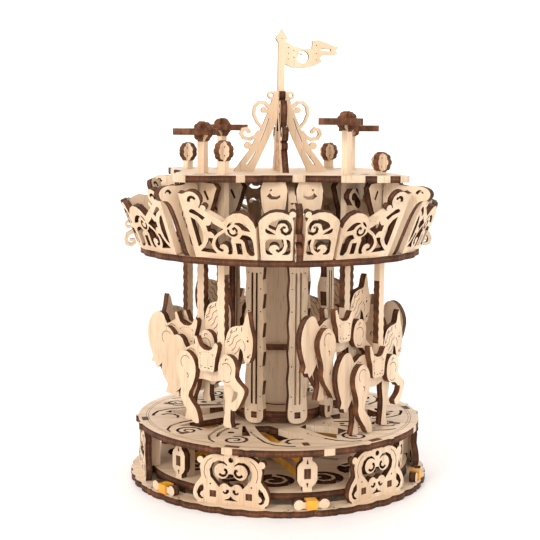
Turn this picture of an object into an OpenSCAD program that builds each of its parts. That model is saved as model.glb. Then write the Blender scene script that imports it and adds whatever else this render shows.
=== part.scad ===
// Table-top carousel cut from flat sheet: a fixed base, a turning column and canopy,
// and eight horses that rise and fall in pairs on four rockers.
// Right is +X, the front is -Y. Angles are measured about the centre line from +X.

/* [Sheet] */
// Thickness of every plate
sheet = 4; // [3.9:0.05:4.1]
// Running gap between plates that slide past each other
gap = 0.3; // [0.25:0.05:0.4]

/* [Base] */
// Radius of the base ring over its scallops
base_r = 95; // [94:0.5:96]
// Radius of the opening in the base ring
base_bore_r = 82; // [81:0.5:82.5]
// Radius of the plate above the base ring
mid_plate_r = 83; // [82.5:0.25:83.5]
// Height of the underside of the plate above the base ring
mid_plate_z = 7.3; // [7:0.1:7.5]
// Radius of the deck that the horses turn over
deck_r = 90; // [89.5:0.25:90.5]
// Height of the underside of the deck
deck_z = 34.3; // [34:0.1:34.6]
// Side of the square mast
mast_w = 18; // [17.5:0.5:18.5]

/* [Column] */
// Radius of the circle that the eight pillars stand on
pillar_r = 33.3; // [33:0.1:34]
// Width of a pillar
pillar_w = 12.8; // [12:0.2:13]
// Height of the lower end of the pillars
pillar_z = 39.8; // [39.5:0.1:40.2]
// Height of the underside of the lower hub
hub_z = 43; // [42.8:0.1:43.2]

/* [Canopy] */
// Radius of the canopy floor over its scallops
canopy_r = 88; // [87.5:0.25:88.5]
// Height of the underside of the canopy floor
canopy_z = 143.6; // [143:0.2:144.2]
// Outward lean of the canopy panels
panel_lean = 22; // [21:0.5:23]
// Height of the underside of the upper deck
upper_z = 190.3; // [190:0.1:190.6]
// Radius at the four corners of the upper deck
upper_r = 93; // [92:0.5:94]
// Height of the top of the cone
cone_top_z = 244.2; // [243.4:0.2:245]
// Height of the tip of the flag pole
flag_top_z = 283; // [282:0.5:284]

/* [Horses] */
// Height of the hooves when both horses of a pair are level
hoof_z = 51; // [50.9:0.1:51.4]
// Height of the top of a pole's knob when its pair is level
knob_z = 219.8; // [219.6:0.2:220.6]
// Most that a horse rises above or falls below the level of its pair
stroke_half = 12; // [11:0.5:12]
// Distance of the inner horse of a pair from the centre line, square to its plate
inner_r = 59.5; // [59:0.25:60]
// Distance of each pole of a pair from the middle of the rocker
pole_x = 12; // [11.5:0.5:12.5]
// Width of a pole
pole_w = 6; // [5.8:0.1:6.2]

/* [Hidden] */

deck_top = deck_z + sheet;
mid_top = mid_plate_z + sheet;
canopy_top = canopy_z + sheet;
upper_top = upper_z + sheet;
rib_turn = -83.5;
flag_half = 2.1;
flag_seat = 8;
corner_turn = rib_turn + 45;
panel_turn = -108.1;
lantern_turn = -77.8;
pillar_turn = -25.5;
panel_face_r = 84;
panel_tenon_w = 9;
post_x = 11.1;
// Turn from a canopy rib to the middle of the short and the tall panel beside it
short_turn = 8.75;
tall_turn = 29.7;
lantern_face_r = 77;
short_face_r = 84;
tall_face_r = 81.6;
// Lowest point of a leaning panel, along its own face
panel_foot = sheet * tan(panel_lean) + 0.03;
cleat_r = 88.5;
outer_r = inner_r + 2 * sheet + 2 * gap;
rocker_y = inner_r + sheet / 2 + gap;
rocker_z = canopy_top + 21;
pin_r = 2;
knob_r = 6.4;
peg_r = 1.2;
running_gap = 0.05;
axle_r = 3;
bearing_r = 14;
floor_bore_r = 16;
// How far the inner horse of each pair stands above its level position at rest
lift = [12, 8, 8, 5.5];
ply = "#dcb888";
burnt = "#4a2a1c";
rubber = "#d98c12";

// ---------------------------------------------------------------- outlines

function polar(r, a) = [r * cos(a), r * sin(a)];

function arc(c, r, a0, a1, n) = [for (i = [0:n]) c + polar(r, a0 + (a1 - a0) * i / n)];

function scroll(c, r0, r1, a0, a1, n) =
    [for (i = [0:n]) c + polar(r0 + (r1 - r0) * i / n, a0 + (a1 - a0) * i / n)];

function knot(p, i) = p[(i + len(p)) % len(p)];

// Closed smooth curve through the points p, with k steps between neighbours
function smooth(p, k = 4) = [for (i = [0:len(p) - 1], j = [0:k - 1])
    let (t = j / k, a = knot(p, i - 1), b = knot(p, i), c = knot(p, i + 1), d = knot(p, i + 2))
    b + (c - a) * t / 2 + (2 * a - 5 * b + 4 * c - d) * t * t / 2
        + (3 * b - a - 3 * c + d) * t * t * t / 2];

function heading(p, i) = let (d = p[min(i + 1, len(p) - 1)] - p[max(i - 1, 0)]) d / norm(d);

function side_point(p, i, w) = p[i] + w / 2 * [-heading(p, i)[1], heading(p, i)[0]];

// Strip along the points p, w0 wide at its start and w1 wide at its end
module groove(p, w0, w1) {
    n = len(p) - 1;
    polygon(concat(
        [for (i = [0:n]) side_point(p, i, w0 + (w1 - w0) * i / n)],
        [for (i = [n:-1:0]) side_point(p, i, (w1 - w0) * -i / n - w0)]));
}

// The same strip with round ends
module ribbon(p, w0, w1) {
    groove(p, w0, w1);
    translate(p[0]) circle(d = w0, $fn = 10);
    translate(p[len(p) - 1]) circle(d = w1, $fn = 10);
}

// Wavy rim: n lobes that stand out by depth from the radius r
function rim(r, depth, n, k = 5) =
    [for (i = [0:n * k - 1]) polar(r - depth + depth * abs(sin(180 * i / k)), 360 * i / (n * k))];

module slot(w, h) {
    square([w, h], center = true);
}

module window(w, h, r) {
    offset(r = r, $fn = 12) square([w - 2 * r, h - 2 * r], center = true);
}

module mirrored() {
    children();
    mirror([1, 0]) children();
}

// ---------------------------------------------------------------- plates

// A flat plate from the 2-D outline of its children; true circles stay round where round is set
module cut_plate(round = false) {
    linear_extrude(height = sheet) if (round) {
        children();
    } else {
        offset(delta = 0) children();
    }
}

// Level plate with its underside at height z
module level(z, round = false) {
    translate([0, 0, z]) cut_plate(round) children();
}

// Upright plate across the direction a, with its inner face at distance r
module across(a, r, z, lean = 0, round = false) {
    rotate([0, 0, a + 90]) translate([0, -r, z]) rotate([90 + lean, 0, 0]) cut_plate(round) children();
}

// Upright plate in the plane through the centre line, x running outward
module outward(a, z = 0) {
    rotate([0, 0, a]) translate([0, 0, z]) rotate([90, 0, 0]) translate([0, 0, -sheet / 2])
        cut_plate() children();
}

module around(n, a0) {
    for (i = [0:n - 1]) rotate([0, 0, a0 + i * 360 / n]) children();
}

// ---------------------------------------------------------------- base

module base_ring() {
    color(ply) level(0) difference() {
        union() {
            polygon(rim(base_r, 1.6, 42, 3));
            around(6, lantern_turn) mirrored_y() translate([base_r - 5, 13]) circle(r = 4, $fn = 18);
        }
        circle(r = base_bore_r, $fn = 72);
        around(6, lantern_turn) mirrored_y() translate([base_r - 4, 13.5]) circle(r = 0.7, $fn = 8);
    }
}

module mirrored_y() {
    children();
    mirror([0, 1]) children();
}

module base_spacers() {
    color(burnt) for (k = [0:5]) rotate([0, 0, lantern_turn + 60 * k])
        translate([base_bore_r - 1, -9, sheet]) cube([2, 18, mid_plate_z - sheet]);
}

module mid_plate() {
    color(ply) level(mid_plate_z) difference() {
        circle(r = mid_plate_r, $fn = 84);
        square(mast_w - 2 * sheet, center = true);
        around(12, lantern_turn + 15) difference() {
            translate([59, 0]) circle(r = 13, $fn = 18);
            groove(scroll([59, 0], 9.4, 2, 180, -190, 9), 2.4, 2);
            translate([47, 0]) square([8, 2.4], center = true);
        }
        around(6, lantern_turn) groove([[24, 0], [40, 0]], 2, 4);
    }
}

// Side panel of the base: x along the rim, y up from the base ring
module panel_outline() {
    difference() {
        union() {
            polygon(smooth([[0, 28.4], [4.5, 29], [10, 29.6], [14.5, 28], [17.8, 25], [19.3, 21],
                [18.4, 15.5], [21.4, 11.6], [23.4, 7], [23.2, 3.4], [21, 1], [16, 0.8], [-16, 0.8], [-21, 1],
                [-23.2, 3.4], [-23.4, 7],
                [-21.4, 11.6], [-18.4, 15.5], [-19.3, 21], [-17.8, 25], [-14.5, 28], [-10, 29.6],
                [-4.5, 29]], 2));
            translate([0, 1]) slot(42, 2);
            translate([0, (deck_z + 27) / 2 - sheet]) slot(panel_tenon_w, deck_z - 27 + 2 * sheet);
            mirrored() translate([18.9, 25.4]) circle(r = 2.1, $fn = 14);
        }
        translate([0, -sheet]) slot(60, 2 * sheet);
        translate([0, 26.7]) circle(r = 1.6, $fn = 12);
        difference() {
            polygon(concat([[-7.2, 10], [-9.6, 12.6], [-12.6, 16], [-13.2, 20], [-11.4, 24], [-8, 25.9],
                [-4.6, 25.7], [-2.4, 24], [-2, 21.8], [2, 21.8], [2.4, 24], [4.6, 25.7], [8, 25.9],
                [11.4, 24], [13.2, 20], [12.6, 16], [9.6, 12.6], [7.2, 10]],
                arc([3.8, 9.2], 3.4, 20, 150, 5), arc([-3.8, 9.2], 3.4, 30, 160, 5)));
            mirrored() translate([5.7, 19.8]) circle(r = 4.6, $fn = 20);
            translate([0, 20.6]) slot(4.4, 4.4);
        }
        mirrored() {
            groove(concat([[4.2, 20.8]], arc([5, 19.4], 2.4, 150, 330, 7)), 1.7, 1.5);
            groove(arc([3.4, 8.2], 1.5, 150, 340, 4), 2, 0.9);
            translate([post_x, 5.8]) slot(sheet, sheet);
            translate([12.7, 11.6]) circle(r = 0.55, $fn = 8);
            polygon([[17.2, 11.4], [19.6, 9.5], [21.2, 6], [20.2, 3], [18.2, 1.9], [16.7, 2.6], [18.2, 3.4],
                [19.2, 4.6], [18.5, 6.2], [17.2, 7], [16.8, 8.6]]);
        }
        polygon([[-4.4, 2.5], [-1.2, 3.8], [0, 5.4], [1.2, 3.8], [4.4, 2.5]]);
    }
}

module side_panel(k) {
    color(ply) across(panel_turn + 60 * (k - 1), panel_face_r, sheet) panel_outline();
}

// Posts behind the side panels, tenoned through them
module panel_posts() {
    color(burnt) for (k = [0:5], s = [-1, 1]) rotate([0, 0, panel_turn + 60 * k]) {
        translate([78, s * post_x - sheet / 2, mid_top]) cube([panel_face_r - 78, sheet, deck_z - mid_top]);
        translate([mid_plate_r + 0.6, s * post_x - sheet / 2, 2 * sheet - 0.2])
            cube([panel_face_r + sheet - mid_plate_r - 0.6, sheet, sheet]);
    }
}

module lantern_outline() {
    h = deck_z - mid_top;
    difference() {
        polygon([[-2.8, 0], [2.8, 0], [2.8, 2.4], [5, 4.4], [6, 6.4], [6, 14.4], [5, 16.4], [2.8, 18.2],
            [2.8, h], [-2.8, h], [-2.8, 18.2], [-5, 16.4], [-6, 14.4], [-6, 6.4], [-5, 4.4], [-2.8, 2.4]]);
        translate([0, 10.4]) slot(sheet, 6);
        polygon([[-0.7, 16.2], [0.7, 16.2], [0.15, 18.8], [-0.15, 18.8]]);
        polygon([[-0.7, 4.8], [-0.15, 2.2], [0.15, 2.2], [0.7, 4.8]]);
    }
}

module lanterns() {
    color(ply) for (k = [0:5]) across(lantern_turn + 60 * k, lantern_face_r, mid_top) lantern_outline();
}

module lantern_ribs() {
    h = deck_z - mid_top;
    color(burnt) for (k = [0:5]) {
        outward(lantern_turn + 60 * k, mid_top) polygon([[70, 0], [lantern_face_r, 0],
            [lantern_face_r, 7.4], [lantern_face_r + sheet + 0.4, 7.4],
            [lantern_face_r + sheet + 0.4, 13.4], [lantern_face_r, 13.4],
            [lantern_face_r, h], [lantern_face_r + 3, h], [lantern_face_r + 3, h + sheet],
            [73, h + sheet], [73, h], [70, h]]);
    }
}

// Dog-bone cleats on the base ring that hold the rubber bands
module band_cleats() {
    color(ply) for (k = [0:5]) across(lantern_turn + 60 * k, cleat_r, sheet, 0, true) union() {
        translate([-8, 0.8]) square([16, 3.8]);
        mirrored() translate([7.6, 3]) circle(r = 3, $fn = 24);
    }
}

// Straight flat strand between two points
module strand(p, q, w, t) {
    d = q - p;
    translate(p) rotate([0, 0, atan2(d[1], d[0])]) rotate([0, -atan2(d[2], norm([d[0], d[1]])), 0])
        translate([0, -w / 2, -t / 2]) cube([norm(d), w, t]);
}

module rubber_bands() {
    wrap = sheet + 2.4;
    wrap_w = 6.6;
    color(rubber) for (k = [0:5]) rotate([0, 0, lantern_turn + 60 * k]) {
        translate([cleat_r + sheet / 2, 0, sheet + 2.7]) difference() {
            translate([-wrap / 2, -wrap_w / 2, -2.65]) cube([wrap, wrap_w, 5.5]);
            cube([sheet, 2 * wrap_w, 3.8], center = true);
        }
        for (z = [19.6, 28.3])
            strand([lantern_face_r - 2, -3.6, z], [0, -bearing_r - 3.4, z + 2.8], 1.2, 4.4);
    }
}

module deck_spiral() {
    translate([72, 0]) groove(scroll([0, 0], 1.4, 8.6, 0, 570, 17), 1.5, 2);
}

// Openings of one quarter of the deck: x outward through the hook
module deck_quarter() {
    groove([[65.6, 4.8], [64.8, 0], [67, -4.6], [71, -6.6], [75, -4.8]], 1.6, 2.4);
    groove([[45, -24], [57, -22.4], [70, -19], [77, -14], [80, -6.6], [80.6, -2.6]], 1.2, 2);
    polygon([[32, -20], [42.6, -19.4], [56, -18], [68, -15.4], [72.6, -11.2], [67, -8.4], [62.5, -3],
        [60, 3.5], [50.6, 0], [39.5, -6.2], [32, -11]]);
    rotate(31) {
        mirror([0, 1]) deck_spiral();
        groove([[82, -4], [80, -10], [73, -16], [64, -18.6], [50, -19]], 1.2, 2.2);
        polygon([[69.6, -13], [60, -14.6], [36, -13], [34, -6], [52, 4.4], [60, 4.6], [62, -2], [64, -8]]);
    }
    rotate(60) {
        deck_spiral();
        groove([[81, -9], [76, -14.5], [68, -18.4], [52, -19.4], [40, -17.4]], 1.2, 2);
        groove([[69, -12.6], [60, -15], [46, -14.4], [35, -12.6]], 1.4, 3.4);
        groove([[61, 3], [49, -3.2], [40, -7.4]], 5, 1.6);
        translate([46.4, -9.8]) circle(r = 1.7, $fn = 12);
        translate([57, -8.8]) circle(r = 2.2, $fn = 12);
    }
}

module deck() {
    color(ply) level(deck_z) difference() {
        union() {
            circle(r = deck_r, $fn = 84);
            for (k = [0:5], s = [-6.5, 6.5])
                rotate(panel_turn + 60 * k + s) translate([deck_r - 1.5, 0]) circle(r = 3, $fn = 14);
        }
        circle(r = bearing_r + 6, $fn = 48);
        around(6, panel_turn) translate([panel_face_r + sheet / 2, 0]) slot(sheet, panel_tenon_w);
        around(6, lantern_turn) translate([lantern_face_r - 0.5, 0]) slot(7, sheet);
        around(4, lantern_turn - 3.2) deck_quarter();
    }
}

// Square mast of four planks with a collar half way up
module mast() {
    inside = mast_w - 2 * sheet;
    color(ply) difference() {
        union() {
            translate([-mast_w / 2, -mast_w / 2, mid_top]) cube([mast_w, mast_w, upper_z - 6 - mid_top]);
            translate([-13, -13, 82]) cube([26, 26, sheet]);
        }
        translate([-inside / 2, -inside / 2, mid_top - 1]) cube([inside, inside, upper_z - 9 - mid_top]);
    }
}

module mast_bearing() {
    color(burnt) translate([0, 0, hub_z - 0.6]) difference() {
        cylinder(r = bearing_r, h = sheet + 1.2, $fn = 64);
        translate([-mast_w / 2, -mast_w / 2, -1]) cube([mast_w, mast_w, sheet + 4]);
    }
}

// Crown-shaped cam under the rockers
module cam_ring() {
    color(burnt) difference() {
        union() {
            translate([0, 0, canopy_top + 4]) cylinder(r = 24, h = sheet, $fn = 64);
            intersection() {
                translate([0, 0, canopy_top + 4]) cylinder(r = 24, h = 2 * sheet, $fn = 64);
                for (a = [0, 90]) rotate([0, 0, corner_turn + a])
                    translate([-30, -6, canopy_top + 4]) cube([60, 12, 2 * sheet]);
            }
        }
        translate([-mast_w / 2, -mast_w / 2, canopy_top]) cube([mast_w, mast_w, 20]);
    }
}

module top_axle() {
    color("silver") translate([0, 0, upper_z - 6]) cylinder(r = axle_r, h = sheet + 24, $fn = 48);
}

// ---------------------------------------------------------------- column

module band_spool() {
    flange_z = deck_top + 0.9;
    color(burnt) difference() {
        union() {
            translate([0, 0, 15]) cylinder(r = bearing_r + 5, h = 2, $fn = 64);
            translate([0, 0, 17]) cylinder(r = bearing_r + 2.5, h = flange_z - 17, $fn = 64);
            translate([0, 0, 26]) cylinder(r = bearing_r + 5, h = 2, $fn = 64);
            translate([0, 0, flange_z]) cylinder(r = 28, h = hub_z - flange_z, $fn = 64);
        }
        translate([0, 0, 14]) cylinder(r = 13.4, h = 40, $fn = 64);
        translate([0, 0, hub_z - 1.2]) cylinder(r = bearing_r + 0.4, h = 4, $fn = 64);
    }
}

module lower_hub() {
    color(ply) level(hub_z, true) difference() {
        union() {
            circle(r = pillar_r - sheet / 2, $fn = 96);
            around(8, pillar_turn) translate([pillar_r + sheet / 2 - 4.5, 0]) slot(9, sheet);
        }
        circle(r = bearing_r + running_gap, $fn = 96);
    }
}

module pillar_outline() {
    h = canopy_z - pillar_z;
    w = pillar_w / 2;
    steps = 10;
    edge = [for (i = [0:steps]) [w - 0.4 + 0.4 * cos(180 * i), 9 + (h - 14) * i / steps]];
    difference() {
        union() {
            polygon(concat(arc([w - 5, 5], 5, -90, 0, 5), edge, [[w, h], [-w, h]],
                [for (i = [steps:-1:0]) [-edge[i][0], edge[i][1]]], arc([5 - w, 5], 5, 180, 270, 5)));
            translate([0, h + sheet / 2]) slot(5, sheet);
        }
        translate([0, hub_z - pillar_z + sheet / 2]) slot(sheet, sheet);
        translate([0, h - 3]) slot(3.6, 2.4);
        mirrored() translate([1.5, 12 + (h - 22) / 2]) slot(1.3, h - 22);
        mirrored() for (y = [8, 17, 36, 48, 70, 84, h - 10]) translate([4.2, y]) circle(r = 0.4, $fn = 16);
    }
}

module pillars() {
    color(ply) for (k = [0:7])
        across(pillar_turn + 45 * k, pillar_r - sheet / 2, pillar_z, 0, true) pillar_outline();
}

// ---------------------------------------------------------------- canopy

// Openings that the two poles of a pair run through
module pole_openings(clear) {
    for (p = [[-pole_x, inner_r], [pole_x, outer_r]])
        translate([p[1], p[0]]) slot(sheet + 2 * clear, pole_w + 1.4 + 2 * clear);
}

module canopy_floor() {
    color(ply) level(canopy_z, true) difference() {
        polygon(rim(canopy_r, 1.4, 24, 4));
        circle(r = floor_bore_r, $fn = 64);
        around(8, pillar_turn) translate([pillar_r, 0]) slot(sheet, 5);
        around(4, corner_turn) {
            pole_openings(gap);
            translate([52.5, 0]) slot(sheet, 10);
            translate([76, 0]) slot(sheet, 10);
        }
        around(4, rib_turn) {
            translate([82, 0]) slot(6, sheet);
            translate([70, 0]) circle(r = 7, $fn = 32);
            mirrored_y() translate([62, 26]) circle(r = 8, $fn = 32);
        }
    }
}

// Arched rib from the upper deck out to the rim: x outward, y up from the canopy floor
module canopy_rib_outline() {
    h = upper_z - canopy_top;
    difference() {
        union() {
            polygon(concat([[26, h], [44, h]], [[52, h - 3], [60, h - 8], [68, h - 11.5], [76, h - 12.5],
                [82, h - 11.5], [89, h - 10.5], [94, h - 13], [95.6, h - 18]], [[87.6, 0], [78, 0]],
                [[77, 8], [80, 16], [79, 20], [76, 21], [68, 20], [60, 22], [52, 26], [44, 29],
                [36, 29.5], [28, 30]]));
            translate([82, -sheet / 2]) slot(6, sheet);
            ribbon([[87, 9], [92.5, 9], [95.8, 7.2], [97, 4], [96.2, 1.2], [93.6, 0.4], [91.4, 2], [92, 3.8],
                [94, 3.6]], 2.8, 1.6);
            translate([95.3, 13.4]) circle(r = 2.4, $fn = 16);
            ribbon([[88.6, 11.4], [93.6, 12.6]], 3.4, 2.8);
        }
        groove([[40, h - 6], [48, h - 9], [58, h - 14]], 1.4, 1);
        translate([87.5, h - 18]) circle(r = 1.8, $fn = 16);
        translate([95.3, 13.4]) circle(r = 1, $fn = 10);
    }
}

module canopy_ribs() {
    color(ply) for (k = [0:3]) outward(rib_turn + 90 * k, canopy_top) canopy_rib_outline();
}

module corner_outline() {
    h = upper_z - canopy_top;
    difference() {
        union() {
            polygon(smooth([[80.5, 0], [86, 0], [91, 10], [96, 21], [100.6, 29], [104.6, 32.4], [109, 33],
                [111.4, 36.6], [109, 39.8], [103, 41.2], [95, 41], [87, h - 0.6], [80.5, h - 1],
                [79.2, h - 5], [79, 30], [79.2, 15]], 3));
            translate([87.6, h]) slot(5, 2 * sheet);
        }
        translate([90, -sheet]) slot(40, 2 * sheet);
        polygon(smooth([[81.5, 6], [83, 18], [82, 31], [84, 35.4], [91, 35.4], [96, 33.4], [94, 27],
            [89, 17], [85, 7]], 2));
        groove(arc([104.4, 36.2], 2.2, 20, 170, 6), 0.8, 2);
    }
}

module corner_plates() {
    color(ply) for (k = [0:3]) outward(corner_turn + 90 * k, canopy_top) corner_outline();
}

// Short panel beside a rib: the rib is on the side of negative x
module short_outline() {
    difference() {
        union() {
            polygon([[-10.6, panel_foot], [-11.4, 26], [-10.6, 28.6], [-8.4, 30.2], [-5, 31.6], [-1.4, 31.8],
                [2, 31], [5, 29], [7.4, 26.8], [8.2, 25], [7, panel_foot]]);
            translate([-10.8, 30.4]) circle(r = 1.9, $fn = 14);
        }
        groove([[0.6, 24], [-1.2, 25], [-4, 26.3], [-7, 26], [-8.9, 24], [-9.5, 21.2], [-8.7, 19],
            [-6.8, 18.3], [-5, 19.4], [-4.6, 21.4], [-5.6, 22.7], [-6.9, 22.2]], 3, 1.4);
        polygon([[-1.3, 20.4], [2.3, 22], [2.8, 23.3], [1.4, 25.4], [-0.6, 26.4], [-2.6, 24]]);
        polygon([[-1.4, 17.8], [2.6, 18.3], [4.2, 19.3], [4.6, 21], [4, 21.8], [1.8, 20.2]]);
        difference() {
            translate([-2.5, 10.1]) window(14, 9.8, 2.2);
            groove([[-6.2, 15.4], [-6.9, 11], [-5.7, 7.6], [-3, 5.4], [-1.4, 4.6]], 1.7, 2.4);
            translate([-0.4, 8.7]) circle(r = 2.9, $fn = 16);
            translate([-0.9, 6]) slot(3, 3);
        }
        groove([[-4.6, 9.4], [-3.5, 7.9], [-2.2, 7.6], [-1.8, 8.7]], 1.2, 1.7);
    }
}

// Tall panel beside a corner plate: the corner is on the side of positive x
module tall_outline() {
    difference() {
        union() {
            polygon(concat([[-23.2, panel_foot], [-25.2, 21.5], [-24.4, 25.2], [-21.6, 29], [-17.4, 30.8],
                [-13, 30.3], [-9.4, 28.4], [-5.6, 24.7], [4.6, 31.1], [8.2, 33.4]],
                arc([11.8, 37.6], 5.5, 205, 70, 7), [[16.6, 41.4], [19.3, 42], [15.4, panel_foot]]));
            translate([5.4, 33]) circle(r = 1.9, $fn = 12);
        }
        // D-shaped opening beside the corner
        polygon([[12.4, 8.6], [14.2, 27.2], [11.2, 25.4], [9, 22], [8.1, 17.4], [8.6, 13], [10.2, 10]]);
        // Slot under the round head
        polygon([[5, 27.2], [7, 25.4], [9.6, 28], [14.4, 30.2], [14.3, 31.4], [12.8, 32.3], [11, 31.8]]);
        // Star between the bar and the curl
        polygon([[-5.3, 20.3], [0.6, 23.6], [1.4, 25], [2, 23.4], [3.6, 22.1], [5.3, 22.3], [4.9, 18.4],
            [2.8, 18.3], [1.4, 16.8], [1.2, 15.6], [-1.8, 18.2]]);
        polygon([[2.2, 14.3], [5.2, 14.4], [6, 12], [8.4, 8.6], [11.8, 5.6], [1.4, 4.7], [3.5, 7.6],
            [4, 10.4]]);
        // Curl on the base bar
        polygon([[-5.6, 18.5], [-7, 16.6], [-9.6, 15], [-8.7, 13.2], [-9, 8], [-8.3, 5], [-6.8, 4.3],
            [-5.2, 4.7], [-6.3, 6.6], [-6.2, 9], [-5, 10.5], [-3.2, 10.9], [-1.4, 10], [-0.8, 8.5],
            [-1.9, 7.8], [-3.2, 7.3], [-2.7, 6.1], [-1.4, 6], [0.3, 7], [1.4, 9], [1.6, 11], [0.7, 13.2],
            [-1.3, 15.6]]);
        // Openings of the arched end
        translate([-13.1, 8.3]) slot(3.4, 7);
        polygon([[-22.1, 5.2], [-21.2, 4.2], [-19.2, 4.2], [-17.4, 6.5], [-17, 12.4], [-15.9, 14],
            [-14.2, 14.7], [-16.3, 17.2], [-19, 17], [-21.3, 16], [-22.3, 13.6]]);
        polygon([[-21.8, 19.4], [-20.8, 21.2], [-18.5, 23.7], [-16, 24.8], [-13.4, 24.6], [-12.3, 23.7],
            [-14.2, 23.3], [-15.7, 22], [-16.6, 20.3], [-19, 19.6]]);
        polygon([[-11.5, 25.2], [-9.8, 24.6], [-8, 22.8], [-7.4, 21.2], [-8.7, 21.9], [-10.6, 23.5]]);
        groove(concat([[-10.9, 20.2]], arc([-10.8, 19.2], 2.7, 125, 385, 9)), 1.5, 1.4);
        // Eye in the round head
        groove(arc([11.3, 37.6], 2.1, 165, -25, 6), 1.6, 2);
    }
}

module short_panels() {
    color(ply) for (k = [0:3], s = [-1, 1])
        across(rib_turn + 90 * k + s * short_turn, short_face_r, canopy_top, panel_lean)
            mirror([s < 0 ? 1 : 0, 0]) short_outline();
}

module tall_panels() {
    color(ply) for (k = [0:3], s = [-1, 1])
        across(rib_turn + 90 * k + s * tall_turn, tall_face_r, canopy_top, panel_lean)
            mirror([s < 0 ? 1 : 0, 0]) tall_outline();
}

// Vase-shaped bracket, symmetrical: y up from the canopy floor
module bracket_outline() {
    h = upper_z - canopy_top;
    difference() {
        union() {
            polygon(smooth([[13, 0.8], [12, 6], [8, 13], [7.5, 20], [11, 28], [14, 36], [13, h - 0.9],
                [-13, h - 0.9], [-14, 36], [-11, 28], [-7.5, 20], [-8, 13], [-12, 6], [-13, 0.8]], 2));
            translate([0, h / 2]) slot(10, h + 2 * sheet);
        }
        mirrored() translate([7.5, 35]) rotate(30) slot(1.6, 6);
        translate([0, 34]) slot(1.6, 8);
        translate([0, rocker_z - canopy_top]) circle(r = pin_r, $fn = 32);
    }
}

// Vase-shaped post between the canopy floor and the upper deck
module vase_outline() {
    h = upper_z - canopy_top;
    difference() {
        intersection() {
            polygon(smooth([[6.4, 0], [6, 4], [4.4, 10], [4.2, 17], [6.2, 26], [7.4, 32], [6.6, h],
                [-6.6, h], [-7.4, 32], [-6.2, 26], [-4.2, 17], [-4.4, 10], [-6, 4], [-6.4, 0]], 2));
            translate([0, h / 2]) slot(20, h);
        }
        groove([[-3.6, 34.6], [-1.6, 33.4], [1.6, 33.6], [3.4, 35.4]], 1.2, 2.6);
        groove(arc([0, 22], 3.6, 160, 20, 5), 1.2, 2.8);
        translate([1.8, 38]) circle(r = 0.6, $fn = 8);
    }
}

// Brackets that carry the rocker pins, and two vase-shaped posts beside each canopy rib
module rocker_brackets() {
    color(ply) {
        for (k = [0:3], r = [50.5, 74])
            across(corner_turn + 90 * k, r, canopy_top, 0, true) bracket_outline();
        for (k = [0:3], s = [-1, 1])
            across(rib_turn + 90 * k, 56, canopy_top) translate([s * 10.5, 0]) mirror([s < 0 ? 1 : 0, 0])
                vase_outline();
    }
}

module rocker_pins() {
    color("silver") for (k = [0:3]) rotate([0, 0, corner_turn + 90 * k]) translate([49.5, 0, rocker_z])
        rotate([0, 90, 0]) cylinder(r = pin_r, h = 29, $fn = 32);
}

module upper_deck() {
    color(ply) level(upper_z, true) difference() {
        polygon([for (k = [0:3], p = [[63, -45], [62, -38], [64.5, -36], [66, -30], [69.5, -28], [71.5, -22],
            [76, -19], [79, -13], [84.5, -10], [88, -5], [upper_r, -3], [upper_r, 3], [88, 5], [84.5, 10],
            [79, 13], [76, 19], [71.5, 22], [69.5, 28], [66, 30], [64.5, 36], [62, 38]])
            polar(p[0], corner_turn + 90 * k + p[1])]);
        circle(r = axle_r + running_gap, $fn = 48);
        around(4, corner_turn) {
            pole_openings(gap);
            translate([52.5, 0]) slot(sheet, 10);
            translate([76, 0]) slot(sheet, 10);
            translate([87.6, 0]) slot(5, sheet);
            translate([64.5, 0]) circle(r = 3, $fn = 20);
        }
        around(4, rib_turn) translate([23, 0]) slot(6, sheet);
    }
}

// Rib of the cone: x outward, y up from the upper deck
module cone_rib_outline() {
    h = cone_top_z - upper_top;
    difference() {
        union() {
            polygon([[17, 0], [29.6, 0], [24.4, 7], [20, 12.8], [16.6, 19], [12.8, 26], [9, 35], [6.6, 42],
                [5.2, h - 4], [4, h], [2.1, h], [2.1, h - 10], [2.2, 33], [5.4, 25]]);
            translate([23, -sheet / 2]) slot(6, sheet + 0.1);
            translate([20.6, 16]) circle(r = 2.3, $fn = 14);
            ribbon([[13.6, 24.4], [16, 21.4], [19.6, 20], [23.4, 20.8], [25, 23.4], [24, 26], [21.6, 26.6],
                [20, 24.8]], 2.4, 2.4);
            ribbon([[12.2, 27.4], [15.2, 31], [17, 35.4], [16.6, 40], [13.8, 43], [10.4, 42.8], [8, 40.6],
                [6.4, 39.4]], 1.7, 2.6);
            translate([10.8, 38.2]) circle(r = 1.9, $fn = 14);
            translate([8.6, 37.6]) slot(3, 2.4);
            translate([6, h - 2.6]) circle(r = 2.6, $fn = 18);
        }
        translate([6.1, h - 2.6]) circle(r = 1.2, $fn = 12);
        translate([0, h - 5]) slot(2 * flag_half, 2 * flag_seat);
        groove([[16, 12.2], [18.6, 8], [21.4, 4.2]], 0.6, 1.1);
        groove([[7.8, 33], [10.2, 25.6], [13.2, 18.6]], 0.5, 0.6);
    }
}

module cone_ribs() {
    color(ply) for (k = [0:3]) outward(rib_turn + 90 * k, upper_top) cone_rib_outline();
}

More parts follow.
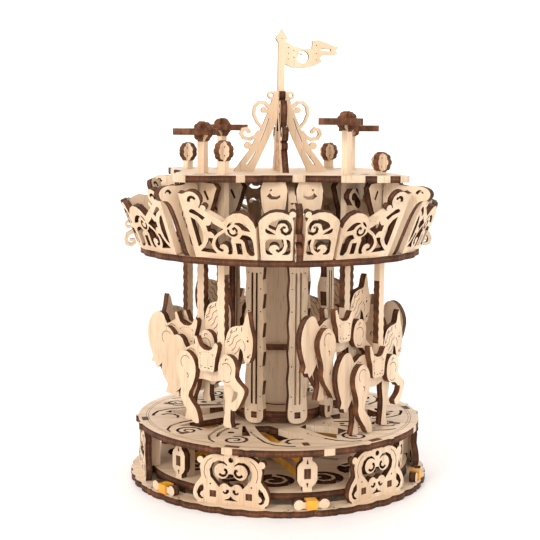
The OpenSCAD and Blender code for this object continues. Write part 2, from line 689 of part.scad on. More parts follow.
// Pennant and spear tip in one plate with the pole
module flag_outline() {
    h = flag_top_z - cone_top_z;
    difference() {
        union() {
            translate([-flag_half, -flag_seat]) square([2 * flag_half, h]);
            polygon([[-2, h - 9], [-3.9, h - 6.2], [-1.7, h - 3], [0, h], [1.8, h - 3],
                [3.9, h - 6.4], [2, h - 8.6]]);
            polygon(concat([[2, h - 8]], [[8, h - 11], [14, h - 12.6], [19, h - 12.6], [19.6, h - 7.4],
                [23, h - 7], [29, h - 9], [33.5, h - 11], [35, h - 10.4], [35.6, h - 12], [34, h - 13.6],
                [35.6, h - 15.4], [34, h - 16], [26, h - 16.4], [24, h - 18], [25.4, h - 20.4], [21, h - 23],
                [14, h - 24.4], [7, h - 24.2], [2, h - 22]]));
        }
        difference() {
            translate([13.2, h - 17.6]) circle(r = 3.9, $fn = 28);
            groove(scroll([12.6, h - 17.2], 3.8, 0.8, 200, 60, 10), 1.4, 0.8);
        }
        groove([[24.6, h - 12.8], [31, h - 13.3]], 1, 1.4);
        for (p = [[4, h - 12], [4, h - 15.5], [4, h - 19], [7.5, h - 14], [7.5, h - 18], [21.6, h - 10.4],
            [21.6, h - 15.4], [21.6, h - 19.4], [0, h - 6.6]]) translate(p) circle(r = 0.45, $fn = 8);
    }
}

module flag() {
    color(ply) rotate([0, 0, rib_turn + 90]) translate([0, sheet / 2, cone_top_z]) rotate([90, 0, 0])
        cut_plate() flag_outline();
}

// ---------------------------------------------------------------- rockers and horses

// Places a piece in the frame of pair k: x along the heading, y outward
module pair(k) {
    rotate([0, 0, corner_turn + 90 * (k - 1) + 90]) children();
}

// Upright plate of pair k, with its inner face at distance r
module pair_plate(k, r, x, z) {
    pair(k) translate([x, -r, z]) rotate([90, 0, 0]) cut_plate() children();
}

// Lever that lifts one pole of a pair as it lowers the other
module rocker(k) {
    turn = 45 * lift[k - 1] / stroke_half;
    color(burnt) difference() {
        pair(k) translate([0, -rocker_y, rocker_z]) rotate([90, 0, 0]) rotate([0, 0, -turn])
            cut_plate() difference() {
                polygon(smooth([[21, 4], [22.6, 0], [21, -4], [9, -4.6], [0, -6], [-9, -4.6], [-21, -4],
                    [-22.6, 0], [-21, 4], [-9, 4.6], [0, 6], [9, 4.6]], 2));
                mirrored() translate([14.9, 0]) window(11, 5.2, 2.5);
            }
        rotate([0, 0, corner_turn + 90 * (k - 1)]) translate([40, 0, rocker_z])
            rotate([0, 90, 0]) cylinder(r = pin_r + running_gap, h = 60, $fn = 32);
    }
}

// Body of a horse facing +x, with its pole at x = 0 and its hooves at y = 0
module horse_outline() {
    difference() {
        union() {
            polygon(smooth([[-28, 44], [-31, 49], [-35, 51], [-40, 49], [-44, 43], [-45, 36], [-43, 28],
                [-40.5, 22], [-42, 18.5], [-38.5, 18], [-37, 15], [-33, 18], [-30, 22], [-24, 25],
                [-14, 26.5], [-6, 26], [2, 28], [9, 30], [12, 36], [13.5, 42], [14.5, 48.5], [16.5, 47],
                [17.5, 43], [19, 40.5], [21.5, 41], [23.6, 45], [24.4, 51], [24.2, 56], [22.6, 61],
                [21.8, 64], [20.4, 70.5], [18.4, 67], [17, 62.5], [12, 61.5], [7, 59.5], [4.5, 55],
                [3, 50], [1, 47], [-6, 45], [-12, 45.5], [-18, 47.5], [-23, 46.5]], 2));
            polygon(smooth([[-30, 28], [-28, 16], [-27, 8], [-29, 1], [-28, 0], [-22.5, 0], [-23, 4],
                [-22, 14], [-18, 26]], 2));
            polygon(smooth([[2, 30], [3.5, 16], [3, 8], [2, 2], [3, 0], [8.5, 0], [7.5, 4], [8, 14],
                [11, 30]], 2));
        }
        translate([0, 60]) slot(pole_w, 50);
        for (p = [[20.6, 53.5], [20.8, 44.2]]) translate(p) circle(r = 0.7, $fn = 10);
        for (p = [[-24.5, 36], [-8, 39], [7.6, 35.5]]) translate(p) slot(sheet, sheet);
        // Engraved mane and tail
        for (p = [[8, 58, 40], [12, 59.5, 20], [16, 60, 0], [5.6, 51.5, 60]])
            translate([p[0], p[1]]) rotate(-p[2]) slot(0.5, 2.4);
    }
}

module hind_outline() {
    difference() {
        polygon(smooth([[-29, 41.5], [-32.5, 36], [-32, 30], [-29.5, 24], [-28.6, 19], [-29, 15], [-26, 9.5],
            [-21, 4], [-18.5, 0.2], [-14, 0.2], [-14.5, 4], [-16.5, 9], [-22.5, 15.5], [-20, 21], [-17, 28],
            [-16.8, 35], [-19.5, 40], [-24, 43]], 2));
        translate([-24.5, 36]) slot(sheet, sheet);
        groove(arc([-24, 28], 1.6, -60, 80, 3), 0.4, 0.7);
    }
}

module fore_outline() {
    difference() {
        polygon(smooth([[7.5, 44.5], [3, 41.5], [1.4, 36], [2, 31], [5, 27.5], [11, 26.5], [14, 23.8],
            [16.5, 23.4], [15.5, 19.4], [12, 16.6], [10.4, 15], [12, 12], [15.5, 12.6], [18.5, 17],
            [21.5, 23], [21, 26], [17.5, 28.6], [14.4, 32], [14.8, 37.5], [12.6, 42.5]], 2));
        translate([7.6, 35.5]) slot(sheet, sheet);
        groove(arc([8, 41], 1.2, 20, 200, 3), 0.4, 0.7);
        groove(arc([7.8, 31.4], 3.4, -140, -40, 3), 0.4, 0.4);
    }
}

module saddle_outline() {
    difference() {
        polygon([[-17.6, 52.5], [-16, 53], [-14.8, 50.5], [-13.2, 47.2], [-10, 45.4], [-6, 45.2],
            [-3.6, 46.4], [-1.8, 49.4], [-0.6, 50.6], [1, 49], [0.6, 46], [-1, 41], [-2, 33.6],
            [-3, 32.6], [-12.5, 32.6], [-14, 34], [-14.6, 41], [-16.6, 46]]);
        translate([-8, 39]) slot(sheet, sheet);
        for (p = [[-12, 35.4], [-9, 34.6], [-6, 34.6], [-4, 36], [-13, 43], [-3, 43]])
            translate(p) slot(1.3, 0.5);
    }
}

function pair_lift(k, s) = s * lift[k - 1];

module horse(k, r, s) {
    color(ply) pair_plate(k, r - sheet / 2, -s * pole_x, hoof_z + pair_lift(k, s)) horse_outline();
}

// Leg and saddle plates with their pins: both sides of an inner horse, outside of an outer one
module tack(k, r, s) {
    z = hoof_z + pair_lift(k, s);
    x = -s * pole_x;
    faces = s > 0 ? [r + sheet / 2, r - 3 * sheet / 2] : [r + sheet / 2];
    depth = s > 0 ? 3 * sheet : 2 * sheet;
    inner = s > 0 ? r - 3 * sheet / 2 : r - sheet / 2;
    color(ply) for (f = faces) pair_plate(k, f, x, z) {
        hind_outline();
        fore_outline();
        saddle_outline();
    }
    color(burnt) pair(k) for (p = [[-24.5, 36], [-8, 39], [7.6, 35.5]])
        translate([x + p[0] - sheet / 2, -inner - depth, z + p[1] - sheet / 2]) cube([sheet, depth, sheet]);
}

// Wavy strip with a round knob; an inner pole also carries a level disc at its knob
module pole_outline(top) {
    wave_low = 52;
    wave_high = canopy_z - hoof_z - 4;
    steps = 28;
    edge = [for (i = [0:steps]) [pole_w / 2 - 0.3 + 0.3 * sin(90 * i),
        wave_low + (wave_high - wave_low) * i / steps]];
    difference() {
        union() {
            polygon(concat([[-3, 35], [3, 35]], edge, [[2.6, wave_high + 2], [2.6, top - 4],
                [-2.6, top - 4], [-2.6, wave_high + 2]],
                [for (i = [steps:-1:0]) [-edge[i][0], edge[i][1]]]));
            translate([0, top - knob_r]) knob_outline();
        }
        for (a = [45:90:315]) translate([0, top - knob_r] + polar(3.6, a)) circle(r = 0.5, $fn = 6);
    }
}

// Round knob with a scalloped rim
module knob_outline() {
    polygon(rim(knob_r, 0.7, 9, 3));
}

module pole(k, r, s) {
    top = knob_z - hoof_z;
    knob_mid = hoof_z + pair_lift(k, s) + top - knob_r;
    color(ply) {
        pair_plate(k, r - sheet / 2, -s * pole_x, hoof_z + pair_lift(k, s)) pole_outline(top);
        pair(k) translate([-s * pole_x, -r, knob_mid]) {
            rotate([90, 0, 90]) translate([0, 0, -sheet / 2]) cut_plate() difference() {
                knob_outline();
                slot(sheet, 3 * knob_r);
            }
            translate([0, -s * (sheet / 2 - 0.1), rocker_z - knob_mid + pair_lift(k, s)])
                rotate([s * 90, 0, 0]) cylinder(r = peg_r, h = sheet + 0.2, $fn = 24);
            if (s > 0) translate([0, 0, -sheet / 2]) cut_plate() difference() {
                translate([-6.5, 0]) polygon(rim(13.3, 0.9, 14, 3));
                slot(2 * knob_r, sheet);
                slot(sheet, 2 * knob_r);
                translate([-13.5, 0]) circle(r = 2.4, $fn = 20);
            }
        }
    }
}

base_ring();
base_spacers();
mid_plate();
for (k = [1:6]) side_panel(k);
panel_posts();
lanterns();
lantern_ribs();
band_cleats();
rubber_bands();
deck();
mast();
mast_bearing();
cam_ring();
top_axle();
band_spool();
lower_hub();
pillars();
canopy_floor();
canopy_ribs();
corner_plates();
short_panels();
tall_panels();
rocker_brackets();
rocker_pins();
upper_deck();
cone_ribs();
flag();
for (k = [1:4]) {
    rocker(k);
    horse(k, inner_r, 1);
    horse(k, outer_r, -1);
    tack(k, inner_r, 1);
    tack(k, outer_r, -1);
    pole(k, inner_r, 1);
    pole(k, outer_r, -1);
}
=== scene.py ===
import math

import bmesh
import bpy
import numpy as np
from mathutils import Euler, Matrix, Vector


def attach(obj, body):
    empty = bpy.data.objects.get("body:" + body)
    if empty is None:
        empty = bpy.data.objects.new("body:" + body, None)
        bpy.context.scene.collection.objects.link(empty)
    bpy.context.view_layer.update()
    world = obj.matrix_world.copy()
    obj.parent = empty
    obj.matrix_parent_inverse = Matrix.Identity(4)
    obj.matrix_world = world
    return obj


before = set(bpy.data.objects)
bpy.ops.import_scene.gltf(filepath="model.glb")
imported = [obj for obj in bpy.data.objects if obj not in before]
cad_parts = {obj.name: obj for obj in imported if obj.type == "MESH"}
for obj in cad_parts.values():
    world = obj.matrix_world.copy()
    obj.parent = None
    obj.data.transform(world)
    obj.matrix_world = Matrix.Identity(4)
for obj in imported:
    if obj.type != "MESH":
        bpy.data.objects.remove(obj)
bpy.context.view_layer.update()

MM = 0.001
SHEET_MM = 4.0
SHEET = SHEET_MM * MM


# ---------------------------------------------------------------- camera, floor, lights

CAMERA_AT = (-0.0011, -0.746, 0.223)
CAMERA_PITCH = 7.0
CAMERA_YAW = 0.38
CAMERA_ROLL = 0.41
LENS = 78.59
SENSOR = 36.0
NEAR_CLIP = 0.01

# Strength of the painted glow (an emission, no lamp) on the sweep behind the model, and how fast it grows
# with height
SWEEP_PAINTED_GLOW = 0.62
SWEEP_PAINTED_GLOW_RISE = 2.2
WORLD_STRENGTH = 0.15
MODEL_MIDDLE = (0, 0, 0.13)


def make_camera():
    data = bpy.data.cameras.new("camera")
    data.lens = LENS
    data.sensor_width = SENSOR
    data.clip_start = NEAR_CLIP
    camera = bpy.data.objects.new("camera", data)
    camera.location = CAMERA_AT
    aim = Euler((math.radians(90 - CAMERA_PITCH), 0, math.radians(CAMERA_YAW))).to_matrix()
    camera.rotation_euler = (aim @ Matrix.Rotation(math.radians(CAMERA_ROLL), 3, "Z")).to_euler()
    bpy.context.scene.collection.objects.link(camera)
    bpy.context.scene.camera = camera


def make_stage():
    """A round floor that sweeps up into a wall on every side."""
    floor_r, sweep, wall = 1.4, 0.9, 3.2
    sweep_steps, turn_steps = 16, 96
    profile = [(0.0, 0.0), (floor_r, 0.0)]
    for i in range(1, sweep_steps + 1):
        a = math.pi / 2 * i / sweep_steps
        profile.append((floor_r + sweep * math.sin(a), sweep * (1 - math.cos(a))))
    profile.append((floor_r + sweep, wall))
    mesh = bpy.data.meshes.new("floor")
    bm = bmesh.new()
    verts = [bm.verts.new((r, 0, z)) for r, z in profile]
    edges = [bm.edges.new((verts[i], verts[i + 1])) for i in range(len(verts) - 1)]
    bmesh.ops.spin(
        bm, geom=verts + edges, cent=(0, 0, 0), axis=(0, 0, 1), angle=2 * math.pi, steps=turn_steps)
    bmesh.ops.remove_doubles(bm, verts=bm.verts, dist=1e-5)
    bmesh.ops.recalc_face_normals(bm, faces=bm.faces)
    bmesh.ops.reverse_faces(bm, faces=bm.faces)
    bm.to_mesh(mesh)
    bm.free()
    for polygon in mesh.polygons:
        polygon.use_smooth = True
    floor = bpy.data.objects.new("floor", mesh)
    bpy.context.scene.collection.objects.link(floor)
    floor.data.materials.append(stage_material())


def make_area_light(name, at, size, power, colour=(1, 1, 1), aim=MODEL_MIDDLE):
    data = bpy.data.lights.new(name, "AREA")
    data.shape = "DISK"
    data.size = size
    data.energy = power
    data.color = colour
    light = bpy.data.objects.new(name, data)
    light.location = at
    light.rotation_euler = (Vector(aim) - Vector(at)).to_track_quat("-Z", "Y").to_euler()
    bpy.context.scene.collection.objects.link(light)


def make_lights():
    world = bpy.data.worlds.new("studio")
    bpy.context.scene.world = world
    world.use_nodes = True
    background = world.node_tree.nodes["Background"]
    background.inputs["Color"].default_value = (1.0, 1.0, 1.0, 1.0)
    background.inputs["Strength"].default_value = WORLD_STRENGTH
    make_area_light("key", (-0.9, -1.3, 1.1), 0.5, 12, (1.0, 0.98, 0.95))
    make_area_light("fill", (1.3, -0.9, 0.7), 0.9, 1.5, (0.97, 0.98, 1.0))
    make_area_light("top", (0.1, 0.4, 1.7), 0.9, 3.5)


# ---------------------------------------------------------------- materials

class Graph:
    """Short calls for a material's nodes."""

    def __init__(self, name):
        self.material = bpy.data.materials.new(name)
        self.material.use_nodes = True
        self.tree = self.material.node_tree
        self.shader = self.tree.nodes["Principled BSDF"]

    def node(self, kind, **settings):
        made = self.tree.nodes.new(kind)
        for key, value in settings.items():
            setattr(made, key, value)
        return made

    def link(self, source, target):
        self.tree.links.new(source, target)

    def object_point(self, scale, turn=(0, 0, 0)):
        """The point on the piece, in metres, times scale along each axis."""
        point = self.node("ShaderNodeTexCoord")
        mapping = self.node("ShaderNodeMapping")
        mapping.inputs["Scale"].default_value = scale
        mapping.inputs["Rotation"].default_value = turn
        self.link(point.outputs["Object"], mapping.inputs["Vector"])
        return mapping.outputs["Vector"]

    def noise(self, point, scale=1.0, detail=2.0, roughness=0.5, distortion=0.0):
        made = self.node("ShaderNodeTexNoise")
        made.inputs["Scale"].default_value = scale
        made.inputs["Detail"].default_value = detail
        made.inputs["Roughness"].default_value = roughness
        made.inputs["Distortion"].default_value = distortion
        self.link(point, made.inputs["Vector"])
        return made.outputs["Fac"]

    def ramp(self, value, stops):
        made = self.node("ShaderNodeValToRGB")
        elements = made.color_ramp.elements
        while len(elements) < len(stops):
            elements.new(0.5)
        for element, (position, colour) in zip(elements, stops):
            element.position = position
            element.color = (*colour, 1) if len(colour) == 3 else colour
        self.link(value, made.inputs["Fac"])
        return made.outputs["Color"]

    def mix(self, factor, a, b, blend="MIX"):
        made = self.node("ShaderNodeMix", data_type="RGBA", blend_type=blend)
        for value, socket in ((factor, made.inputs[0]), (a, made.inputs[6]), (b, made.inputs[7])):
            if isinstance(value, bpy.types.NodeSocket):
                self.link(value, socket)
            elif isinstance(value, (int, float)):
                socket.default_value = value
            else:
                socket.default_value = (*value, 1)
        return made.outputs[2]

    def math(self, operation, a, b=0.0):
        made = self.node("ShaderNodeMath", operation=operation)
        for value, socket in ((a, made.inputs[0]), (b, made.inputs[1])):
            if isinstance(value, bpy.types.NodeSocket):
                self.link(value, socket)
            else:
                socket.default_value = value
        return made.outputs[0]

    def attribute(self, name):
        made = self.node("ShaderNodeAttribute", attribute_name=name)
        return made.outputs["Fac"]

    def bump(self, height, strength, distance):
        made = self.node("ShaderNodeBump")
        made.inputs["Strength"].default_value = strength
        made.inputs["Distance"].default_value = distance
        self.link(height, made.inputs["Height"])
        self.link(made.outputs["Normal"], self.shader.inputs["Normal"])


def grey(value):
    return (value, value, value)


def birch_material(name, grain):
    """Bare birch veneer: grain is the scale along x, y and z, small along the grain."""
    g = Graph(name)
    wide = g.noise(g.object_point(tuple(22 * s for s in grain)), detail=3, distortion=0.6)
    tone = g.ramp(wide, [(0.3, (0.64, 0.45, 0.285)), (0.5, (0.72, 0.54, 0.365)), (0.7, (0.79, 0.63, 0.455))])
    figure = g.noise(g.object_point(tuple(160 * s for s in grain)), detail=4, roughness=0.6, distortion=0.35)
    streaks = g.ramp(figure, [(0.36, grey(0.80)), (0.5, grey(0.97)), (0.62, grey(1.0))])
    colour = g.mix(0.75, tone, streaks, "MULTIPLY")
    pores = g.noise(g.object_point(tuple(1500 * s for s in grain)), detail=2, roughness=0.5)
    flecks = g.ramp(pores, [(0.30, (0.52, 0.36, 0.24)), (0.40, grey(1.0))])
    colour = g.mix(0.5, colour, flecks, "MULTIPLY")
    g.link(colour, g.shader.inputs["Base Color"])
    rough = g.ramp(figure, [(0.3, grey(0.62)), (0.7, grey(0.50))])
    g.link(rough, g.shader.inputs["Roughness"])
    g.bump(g.mix(0.5, figure, pores), 0.25, 0.00012)
    return g.material


def burnt_material(name):
    """Laser-burnt edge of the ply: veneers in bands, streaks across them, a rare pale nick."""
    g = Graph(name)
    across = g.attribute("across")
    bands = g.ramp(across, [
        (0.00, (0.028, 0.011, 0.006)), (0.10, (0.070, 0.027, 0.013)), (0.30, (0.105, 0.042, 0.020)),
        (0.345, (0.034, 0.014, 0.008)), (0.39, (0.135, 0.056, 0.027)), (0.61, (0.120, 0.050, 0.024)),
        (0.655, (0.034, 0.014, 0.008)), (0.70, (0.098, 0.038, 0.018)), (0.90, (0.068, 0.026, 0.013)),
        (1.00, (0.026, 0.010, 0.005))])
    patches = g.noise(g.object_point((110, 110, 110)), detail=3, roughness=0.6)
    uneven = g.ramp(patches, [(0.32, grey(0.45)), (0.5, grey(0.9)), (0.70, (1.9, 1.7, 1.5))])
    colour = g.mix(0.8, bands, uneven, "MULTIPLY")
    scorch = g.noise(g.object_point((900, 900, 120)), detail=2)
    colour = g.mix(0.6, colour, g.ramp(scorch, [(0.35, grey(0.55)), (0.6, grey(1.15))]), "MULTIPLY")
    g.link(colour, g.shader.inputs["Base Color"])
    g.shader.inputs["Roughness"].default_value = 0.62
    g.shader.inputs["Specular IOR Level"].default_value = 0.12
    g.bump(scorch, 0.4, 0.00015)
    return g.material


def engraving_material():
    """A laser-engraved line: dark, with the char uneven along it."""
    g = Graph("engraved_line")
    char = g.noise(g.object_point((700, 700, 700)), detail=3)
    colour = g.ramp(char, [(0.3, (0.050, 0.022, 0.012)), (0.7, (0.17, 0.085, 0.045))])
    g.link(colour, g.shader.inputs["Base Color"])
    g.shader.inputs["Roughness"].default_value = 0.85
    return g.material


def rubber_material():
    """Amber latex band: glossy, slightly clear, with fine lengthwise drawing marks."""
    g = Graph("amber_rubber")
    cloud = g.noise(g.object_point((90, 90, 90)), detail=3)
    colour = g.ramp(cloud, [(0.3, (0.62, 0.255, 0.010)), (0.7, (0.83, 0.42, 0.030))])
    g.link(colour, g.shader.inputs["Base Color"])
    g.shader.inputs["Roughness"].default_value = 0.38
    g.shader.inputs["Subsurface Weight"].default_value = 0.15
    g.shader.inputs["Subsurface Radius"].default_value = (0.002, 0.001, 0.0004)
    g.bump(g.noise(g.object_point((1500, 1500, 1500))), 0.15, 0.0001)
    return g.material


def dowel_material():
    """Round birch dowel: end grain and turned sides, browner than the plates."""
    g = Graph("dowel")
    grain = g.noise(g.object_point((1200, 1200, 500)), detail=3)
    colour = g.ramp(grain, [(0.3, (0.36, 0.20, 0.105)), (0.7, (0.60, 0.40, 0.235))])
    g.link(colour, g.shader.inputs["Base Color"])
    g.shader.inputs["Roughness"].default_value = 0.6
    g.bump(grain, 0.3, 0.0001)
    return g.material


def stage_material():
    """White paper sweep with a painted glow, an emission that grows with height where it rises, in place of
    light from behind.
    """
    g = Graph("stage")
    height = g.node("ShaderNodeSeparateXYZ")
    g.link(g.node("ShaderNodeTexCoord").outputs["Object"], height.inputs[0])
    # Painted glow: the paper emits light, stronger higher up the sweep, though there is no lamp there
    rise = g.math("MULTIPLY", height.outputs["Z"], SWEEP_PAINTED_GLOW_RISE)
    g.link(g.ramp(rise, [(0.0, grey(0.0)), (1.0, grey(1.0))]), g.shader.inputs["Emission Color"])
    g.shader.inputs["Emission Strength"].default_value = SWEEP_PAINTED_GLOW
    g.shader.inputs["Base Color"].default_value = (0.94, 0.915, 0.905, 1)
    g.shader.inputs["Roughness"].default_value = 0.55
    return g.material


# ---------------------------------------------------------------- CAD plates

# A flat face no wider than this is the edge of a plate, and so is a face smaller than the next value
NARROW = 4.15 * MM
SMALL_FACE = 12 * MM * MM
# Corners closer than this are one corner, and normals this close in direction are one flat region
WELD = 2e-6
SAME_WAY = 0.99999
# A face whose normal rises more than this is level
LEVEL = 0.8
LEVEL_SLOT, UPRIGHT_SLOT, EDGE_SLOT = 0, 1, 2


def root(parent, i):
    """The item that stands for i's group."""
    while parent[i] != i:
        parent[i] = parent[parent[i]]
        i = parent[i]
    return i


def flat_regions(mesh):
    """Corners, normals, and for each polygon the number of its flat region and of its solid."""
    corners = np.array([v.co for v in mesh.vertices])
    _, same = np.unique(np.round(corners / WELD).astype(np.int64), axis=0, return_inverse=True)
    same = same.reshape(-1)
    normals = np.array([p.normal for p in mesh.polygons])
    region = list(range(len(mesh.polygons)))
    solid = list(range(int(same.max()) + 1))
    seen = {}
    for polygon in mesh.polygons:
        ids = [int(same[v]) for v in polygon.vertices]
        for a, b in zip(ids, ids[1:] + ids[:1]):
            solid[root(solid, a)] = root(solid, b)
            key = (min(a, b), max(a, b))
            for other in seen.get(key, ()):
                if float(normals[other] @ normals[polygon.index]) > SAME_WAY:
                    region[root(region, other)] = root(region, polygon.index)
            seen.setdefault(key, []).append(polygon.index)
    regions = np.array([root(region, i) for i in range(len(region))])
    solids = np.array([root(solid, int(same[p.vertices[0]])) for p in mesh.polygons])
    return corners, normals, regions, solids


def narrow_side(points, normal, directions=60):
    """Least width of the region, over many directions in its plane."""
    side = Vector(normal).orthogonal().normalized()
    other = Vector(normal).cross(side)
    flat = np.stack([points @ np.array(side), points @ np.array(other)], axis=1)
    flat -= flat.mean(0)
    best = np.inf
    for turn in np.linspace(0, math.pi, directions, endpoint=False):
        reach = flat @ np.array([math.cos(turn), math.sin(turn)])
        best = min(best, reach.max() - reach.min())
    return best


def dress_plate(obj, faces_level, faces_upright, edge):
    """Gives each broad flat region the veneer, and each narrow one the burnt edge."""
    mesh = obj.data
    corners, normals, regions, solids = flat_regions(mesh)
    mesh.materials.clear()
    for material in (faces_level, faces_upright, edge):
        mesh.materials.append(material)
    areas = np.array([p.area for p in mesh.polygons])
    index = np.full(len(mesh.polygons), EDGE_SLOT)
    for region in np.unique(regions):
        members = np.nonzero(regions == region)[0]
        if areas[members].sum() < SMALL_FACE:
            continue
        used = sorted({v for i in members for v in mesh.polygons[int(i)].vertices})
        normal = normals[members[0]]
        if narrow_side(corners[used], normal) > NARROW:
            index[members] = LEVEL_SLOT if abs(normal[2]) > LEVEL else UPRIGHT_SLOT
    mesh.polygons.foreach_set("material_index", index.astype(np.int32))
    mark_thickness(mesh, corners, normals, solids, areas, index)


def mark_thickness(mesh, corners, normals, solids, areas, index):
    """Stores how far through its sheet each corner lies, from 0 to 1, for the bands of the edge."""
    across = mesh.attributes.new("across", "FLOAT", "CORNER")
    values = np.zeros(len(mesh.loops), np.float32)
    for one in np.unique(solids):
        members = np.nonzero(solids == one)[0]
        broad = [i for i in members if index[i] < EDGE_SLOT]
        source = broad or list(members)
        weights = {}
        for i in source:
            rounded = tuple(np.round(np.abs(normals[i]), 2))
            weights[rounded] = weights.get(rounded, 0) + areas[i]
        best = max(weights, key=weights.get)
        key = next(i for i in source if tuple(np.round(np.abs(normals[i]), 2)) == best)
        axis = normals[key] if normals[key][2] >= 0 else -normals[key]
        reach = corners @ axis
        used = [v for i in members for v in mesh.polygons[int(i)].vertices]
        low, high = reach[used].min(), reach[used].max()
        thin = high - low < 2 * SHEET
        for i in members:
            for loop in mesh.polygons[int(i)].loop_indices:
                place = reach[mesh.loops[loop].vertex_index]
                values[loop] = min((place - low) / max(high - low, 1e-6), 1) if thin else 0.5
    across.data.foreach_set("value", values)


def dress_cad():
    level = birch_material("birch_level", (0.06, 1, 1))
    upright = birch_material("birch_upright", (1, 1, 0.06))
    edge = burnt_material("burnt_edge")
    rubber = rubber_material()
    dowel = dowel_material()
    for name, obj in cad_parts.items():
        if name == "rubber_bands":
            whole_material(obj, rubber)
        elif name in ("rocker_pins", "top_axle"):
            whole_material(obj, dowel)
        else:
            dress_plate(obj, level, upright, edge)


def whole_material(obj, material):
    obj.data.materials.clear()
    obj.data.materials.append(material)
    for polygon in obj.data.polygons:
        polygon.material_index = 0


# ---------------------------------------------------------------- engraved lines

# Turns in degrees and sizes in millimetres, as in the CAD model
CORNER_TURN = -38.5
PANEL_TURN = -108.1
PANEL_R = 84.0
DECK_TOP = 38.3
HOOF_Z = 51.0
INNER_R = 59.5
OUTER_R = 68.1
POLE_X = 12.0
# How far the inner horse of each pair stands above the level of its pair at rest
LIFT = (12.0, 8.0, 8.0, 5.5)
# Circles on the deck, their steps and the width of their line
DECK_RINGS = (83.5, 85.0)
RING_STEPS = 144
RING_LINE = 0.3
# Width of the other lines, and how far a line stands off its plate
LINE = 0.45
LIFT_OFF = 0.03
ROUNDING = 1e-6


def arc(x, y, r, start, end, steps=8):
    turns = [math.radians(start + (end - start) * i / steps) for i in range(steps + 1)]
    return [(x + r * math.cos(t), y + r * math.sin(t)) for t in turns]


def dash(x, y, size=0.5):
    """Short level mark."""
    return [(x - size / 2, y), (x + size / 2, y)]


def dashes(points, count):
    """Short marks, evenly spaced along the line through the points."""
    marks = []
    lengths = [math.dist(a, b) for a, b in zip(points, points[1:])]
    for i in range(count):
        left = sum(lengths) * i / (count - 1)
        for (a, b), length in zip(zip(points, points[1:]), lengths):
            if left <= length + ROUNDING:
                t = left / length
                marks.append(dash(a[0] + (b[0] - a[0]) * t, a[1] + (b[1] - a[1]) * t))
                break
            left -= length
    return marks


def strip_corners(points, width):
    """Left and right corners of a strip along the points."""
    sides = []
    for i, (x, y) in enumerate(points):
        before, after = points[max(i - 1, 0)], points[min(i + 1, len(points) - 1)]
        dx, dy = after[0] - before[0], after[1] - before[1]
        length = math.hypot(dx, dy)
        nx, ny = -dy / length * width / 2, dx / length * width / 2
        sides.append(((x + nx, y + ny), (x - nx, y - ny)))
    return sides


def engrave(name, body, lines, places, material, width=LINE):
    """Dark strips on a plate's faces. Each place turns a point of the drawing into one of the frame."""
    verts, faces = [], []
    for place in places:
        for points in lines:
            first = len(verts)
            for left, right in strip_corners(points, width):
                verts += [tuple(MM * c for c in place(*left)), tuple(MM * c for c in place(*right))]
            for i in range(len(points) - 1):
                a = first + 2 * i
                faces.append((a, a + 1, a + 3, a + 2))
    mesh = bpy.data.meshes.new(name)
    mesh.from_pydata(verts, [], faces)
    mesh.materials.append(material)
    piece = bpy.data.objects.new(name, mesh)
    bpy.context.scene.collection.objects.link(piece)
    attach(piece, body)


def upright_place(turn, r, x0, z0):
    """Drawing plane square to the direction turn, at distance r: x along the plate, y up it."""
    a = math.radians(turn)

    def place(x, y):
        along = x + x0
        return (r * math.cos(a) - along * math.sin(a), r * math.sin(a) + along * math.cos(a), z0 + y)

    return place


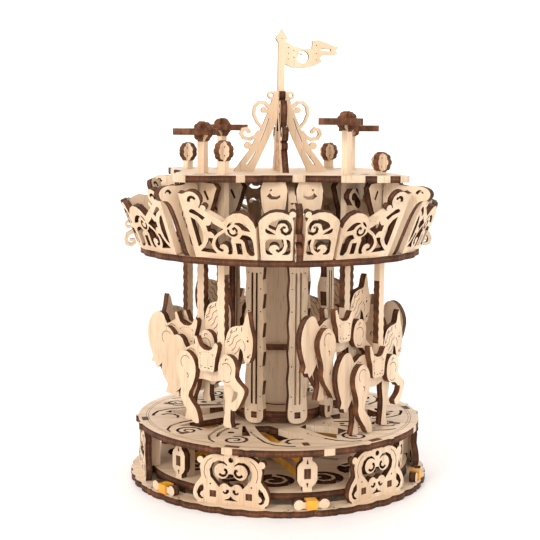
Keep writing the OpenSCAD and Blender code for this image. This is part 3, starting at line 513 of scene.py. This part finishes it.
# Rump, mane, cheek and mouth, then eye and nostril. x runs along the plate, y up from the hooves
HORSE_LINES = [
    [(-21, 43), (-24, 44.2), (-27, 42.5), (-29, 38), (-30.5, 31), (-31.5, 25)],
    [(-22, 41), (-25, 41), (-27, 38), (-28.4, 32), (-29.4, 27)],
    [(4.6, 52), (7, 54), (8, 57), (11, 58.5)],
    [(6.2, 49), (9, 51), (10.2, 54.5), (13.4, 56.5)],
    [(8.4, 46.4), (11, 48.6), (12.4, 52), (15.4, 54)],
    [(10.6, 44.6), (13, 46.6), (14.6, 49.6)],
    [(16.8, 53.5), (18.6, 51), (18.4, 47.5)],
    [(21.2, 44.6), (22.8, 46)],
    dash(20.3, 55.6, 0.9),
    dash(22.6, 43.6, 0.8),
]

# Arcs round the hind and the fore pin, and the border of the saddle
SADDLE_BORDER = [(-12.4, 34.4), (-13, 41), (-11.6, 43.8), (-8, 44.2), (-4.6, 44), (-2.6, 41), (-3.4, 34.4)]
TACK_LINES = [
    arc(-24.5, 36, 4.0, 40, 230),
    arc(7.6, 35.5, 4.0, -40, 140),
    *dashes(SADDLE_BORDER, 15),
]

# Both shoulders of a side panel
SHOULDER_LINES = [
    [(11.7, 27.2), (14.4, 25.2), (16.2, 22), (16.6, 18), (15.5, 14.5)],
    [(-11.7, 27.2), (-14.4, 25.2), (-16.2, 22), (-16.6, 18), (-15.5, 14.5)],
]


def engrave_horses(material):
    for k, lift in enumerate(LIFT, 1):
        turn = CORNER_TURN + 90 * (k - 1)
        for side, r, x0, sign in (("in", INNER_R, -POLE_X, 1), ("out", OUTER_R, POLE_X, -1)):
            z0 = HOOF_Z + sign * lift
            body = f"horse_{side}_{k}"
            faces = [upright_place(turn, r + s * (SHEET_MM / 2 + LIFT_OFF), x0, z0) for s in (-1, 1)]
            engrave(f"horse_lines_{side}_{k}", body, HORSE_LINES, faces, material)
            faces = [upright_place(turn, r + 1.5 * SHEET_MM + LIFT_OFF, x0, z0)]
            engrave(f"tack_lines_{side}_{k}", body, TACK_LINES, faces, material)


def engrave_base(material):
    face_r = PANEL_R + SHEET_MM + LIFT_OFF
    places = [upright_place(PANEL_TURN + 60 * k, face_r, 0, SHEET_MM) for k in range(6)]
    engrave("panel_lines", "base", SHOULDER_LINES, places, material)

    def deck_place(x, y):
        return (x, y, DECK_TOP + LIFT_OFF)

    rings = [arc(0, 0, r, 0, 360, RING_STEPS) for r in DECK_RINGS]
    engrave("deck_lines", "base", rings, [deck_place], material, RING_LINE)


def engrave_all():
    material = engraving_material()
    engrave_horses(material)
    engrave_base(material)


make_camera()
make_stage()
make_lights()
dress_cad()
engrave_all()

bpy.context.scene.view_settings.view_transform = "Standard"
